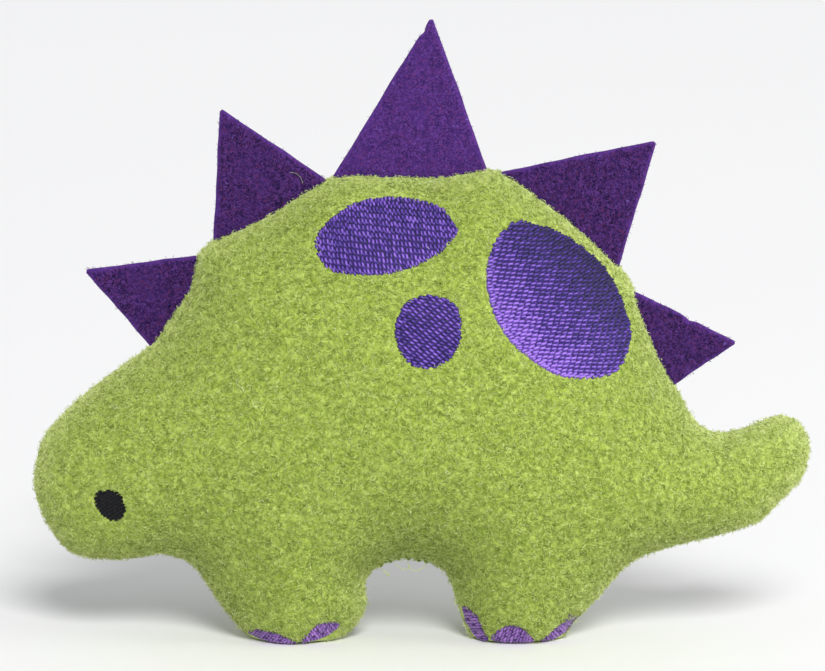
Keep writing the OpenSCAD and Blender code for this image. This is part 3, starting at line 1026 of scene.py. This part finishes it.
def felt_fuzz(name, hinge, ring, thick, count=90):
    """Loose wool fibres on the cut edges of one spike."""
    _, along, out = hinge
    edge = resampled(ring, 0.12)
    edge = edge[edge[:, 1] > -0.6]
    pick = random_numbers.integers(0, len(edge), count)
    flat = edge[pick] + random_numbers.normal(0, 0.05, (count, 2))
    away = flat - ring.mean(axis=0)
    away /= np.linalg.norm(away, axis=1, keepdims=True)
    y = random_numbers.uniform(-0.8, 0.8, count) * thick
    root = felt_points(hinge, flat, y)
    way = np.outer(away[:, 0], along) + np.outer(away[:, 1], out)
    stray = random_numbers.normal(0, 0.5, (count, 3))
    length = random_numbers.uniform(0.06, 0.2, (count, 1))
    bend = root + (way * 0.6 + stray * 0.5) * length
    tip_points = root + (way + stray) * length
    radius = random_numbers.uniform(0.015, 0.028, count)
    verts, faces = fibre_tubes(root - way * 0.1, bend, tip_points, radius)
    fuzz = new_piece(name + "_fuzz", verts, faces, FELT, {"edge": np.full(len(verts), 0.5)})
    bend_felt(fuzz)
    finish_piece(fuzz, None, "purple_felt")


# ---- Lint ----
def lint(surface):
    """A few stray fibres caught on the pile, each as (x, z, length, direction)."""
    stray = [(-20.6, 31.6, 2.4, 0.3), (-18.8, 30.4, 2.0, 2.1), (-35.2, 28.6, 1.6, 1.2),
             (-12.2, 49.4, 0.9, 0.2), (-12.0, 48.8, 0.8, 1.4), (-11.7, 48.2, 0.9, 0.9),
             (0.9, 48.0, 0.5, 0.4), (27.0, 30.0, 1.2, 2.6), (3.5, 22.5, 1.3, 0.8)]
    threads = Threads()
    for x, z, length, turn in stray:
        u = np.linspace(0, 1, 14)
        swing = turn + 2.4 * np.sin(u * 3.3 + turn)
        way = np.stack([np.cos(swing), np.sin(swing)], axis=1)
        flat = np.array([x, z]) + np.cumsum(way * (length / 13), axis=0)
        place, normal = surface.many(flat)
        centre = place + normal * (0.45 + 0.12 * np.sin(u * 7)[:, None])
        threads.add(centre, normal, 0.024 * (1 - 0.5 * u), 0.6, sides=5)
    finish_piece(threads.piece("lint", PALE_THREAD), "toy", "fibre_fill")


def felt_lint():
    """A pale curl of lint on the front of the shoulder spike."""
    u = np.linspace(0, 1, 16)
    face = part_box("shoulder_spike")[0].y / MM
    turn = 4.6 * u - 0.6
    centre = np.stack([-15.2 + 1.6 * u + 0.35 * np.sin(turn), face - 0.05 * np.sin(u * 9),
                       55.6 - 0.5 * u + 0.45 * np.cos(turn)], axis=1)
    threads = Threads()
    threads.add(centre, np.tile([0.0, -1.0, 0.0], (16, 1)), 0.016, 0.0, sides=5)
    finish_piece(threads.piece("felt_lint", PALE_THREAD), "shoulder_spike", "fibre_fill")


# ---- Build the toy ----
front_fleece, front_tree = fleece_panel("front_fleece", -1, 3.0)
back_fleece, _ = fleece_panel("back_fleece", 1, 11.0)
front = Surface(front_tree)
finish_piece(front_fleece, "toy", "green_fleece", "front_panel")
finish_piece(back_fleece, "toy", "green_fleece", "back_panel")
for part in range(4):
    finish_piece(pile(f"front_pile_{part + 1}", front_fleece, True, FIBRES), "toy", "green_fleece")
for part in range(3):
    finish_piece(pile(f"back_pile_{part + 1}", back_fleece, False, FIBRES), "toy", "green_fleece")
fibre_fill()
seam_threads()
closing_threads()

embroider("upper_spot", front, -51, VIOLET, "violet_thread", tone=0.47)
embroider("small_spot", front, -12, VIOLET, "violet_thread", tone=0.4)
embroider("large_spot", front, 25, VIOLET, "violet_thread", tone=0.44, sheen=0.36)
embroider("eye", front, 35, BLACK, "black_thread", pitch=0.38, stitch=3.4, ragged=0.12)
# The way the stitches of each claw run, in degrees
CLAW_ANGLES = {"front_claw_1": 58, "front_claw_2": 118, "rear_claw_1": 20, "rear_claw_2": 75,
               "rear_claw_3": 120}
for claw, angle in CLAW_ANGLES.items():
    embroider(claw, front, angle, MAUVE, "violet_thread", stitch=1.6, ragged=0.08)
for node in ("upper_spot_backing", "small_spot_backing", "large_spot_backing", "eye_backing",
             "front_foot_backing", "rear_foot_backing"):
    backing(node, front)

for number, spike in enumerate(SPIKES, 1):
    felt_fuzz(spike, *felt_spike(spike, number))
lint(front)
felt_lint()


# ---- Floor, light and camera ----
# In metres
CAMERA_DISTANCE = 1.0
CAMERA_ELEVATION = math.radians(10)
VIEW_WIDTH = 0.09706        # width of the picture at the toy
AIM = Vector((-0.0010, 0.0, 0.0365))
FLOOR_HALF = 6


def aimed(ob, place, target):
    """Puts a lamp or the camera in place, facing the target."""
    ob.location = place
    ob.rotation_euler = (Vector(target) - Vector(place)).to_track_quat("-Z", "Y").to_euler()
    bpy.context.scene.collection.objects.link(ob)


def lamp(name, kind, place, target, colour, strength, spread):
    """A soft lamp: the spread is a sun's angle in degrees or an area lamp's side in metres."""
    light = bpy.data.lights.new(name, kind)
    light.energy = strength
    light.color = colour
    if kind == "SUN":
        light.angle = math.radians(spread)
    else:
        light.size = spread
    aimed(bpy.data.objects.new(name, light), place, target)


def stage():
    """A pale floor, soft light from above and the right, and the camera."""
    floor = bpy.data.meshes.new("floor")
    corners = [(x * FLOOR_HALF, y * FLOOR_HALF, 0) for x, y in ((-1, -1), (1, -1), (1, 1), (-1, 1))]
    floor.from_pydata(corners, [], [(0, 1, 2, 3)])
    floor.materials.append(floor_material())
    floor_object = bpy.data.objects.new("floor", floor)
    bpy.context.scene.collection.objects.link(floor_object)
    world = bpy.data.worlds.new("studio")
    world.use_nodes = True
    background = world.node_tree.nodes["Background"]
    background.inputs["Color"].default_value = (0.97, 0.98, 1.0, 1.0)
    background.inputs["Strength"].default_value = 0.47
    bpy.context.scene.world = world
    bpy.context.scene.view_settings.view_transform = "Standard"
    lamp("key", "SUN", (0.12, -0.81, 0.57), (0, 0, 0), (1.0, 0.995, 0.975), 2.75, 20)
    lamp("front", "AREA", (-0.1, -0.9, 0.05), (0, 0, 0), (0.98, 0.99, 1.0), 1.25, 0.4)
    lamp("right", "AREA", (0.55, -0.2, 0.2), (0.03, 0, 0.03), (1.0, 0.98, 0.93), 1.3, 0.3)
    camera = bpy.data.objects.new("camera", bpy.data.cameras.new("camera"))
    back = Vector((0, -math.cos(CAMERA_ELEVATION), math.sin(CAMERA_ELEVATION)))
    aimed(camera, AIM + back * CAMERA_DISTANCE, AIM)
    camera.data.sensor_width = 36
    camera.data.lens = 36 * CAMERA_DISTANCE / VIEW_WIDTH
    bpy.context.scene.camera = camera


stage()
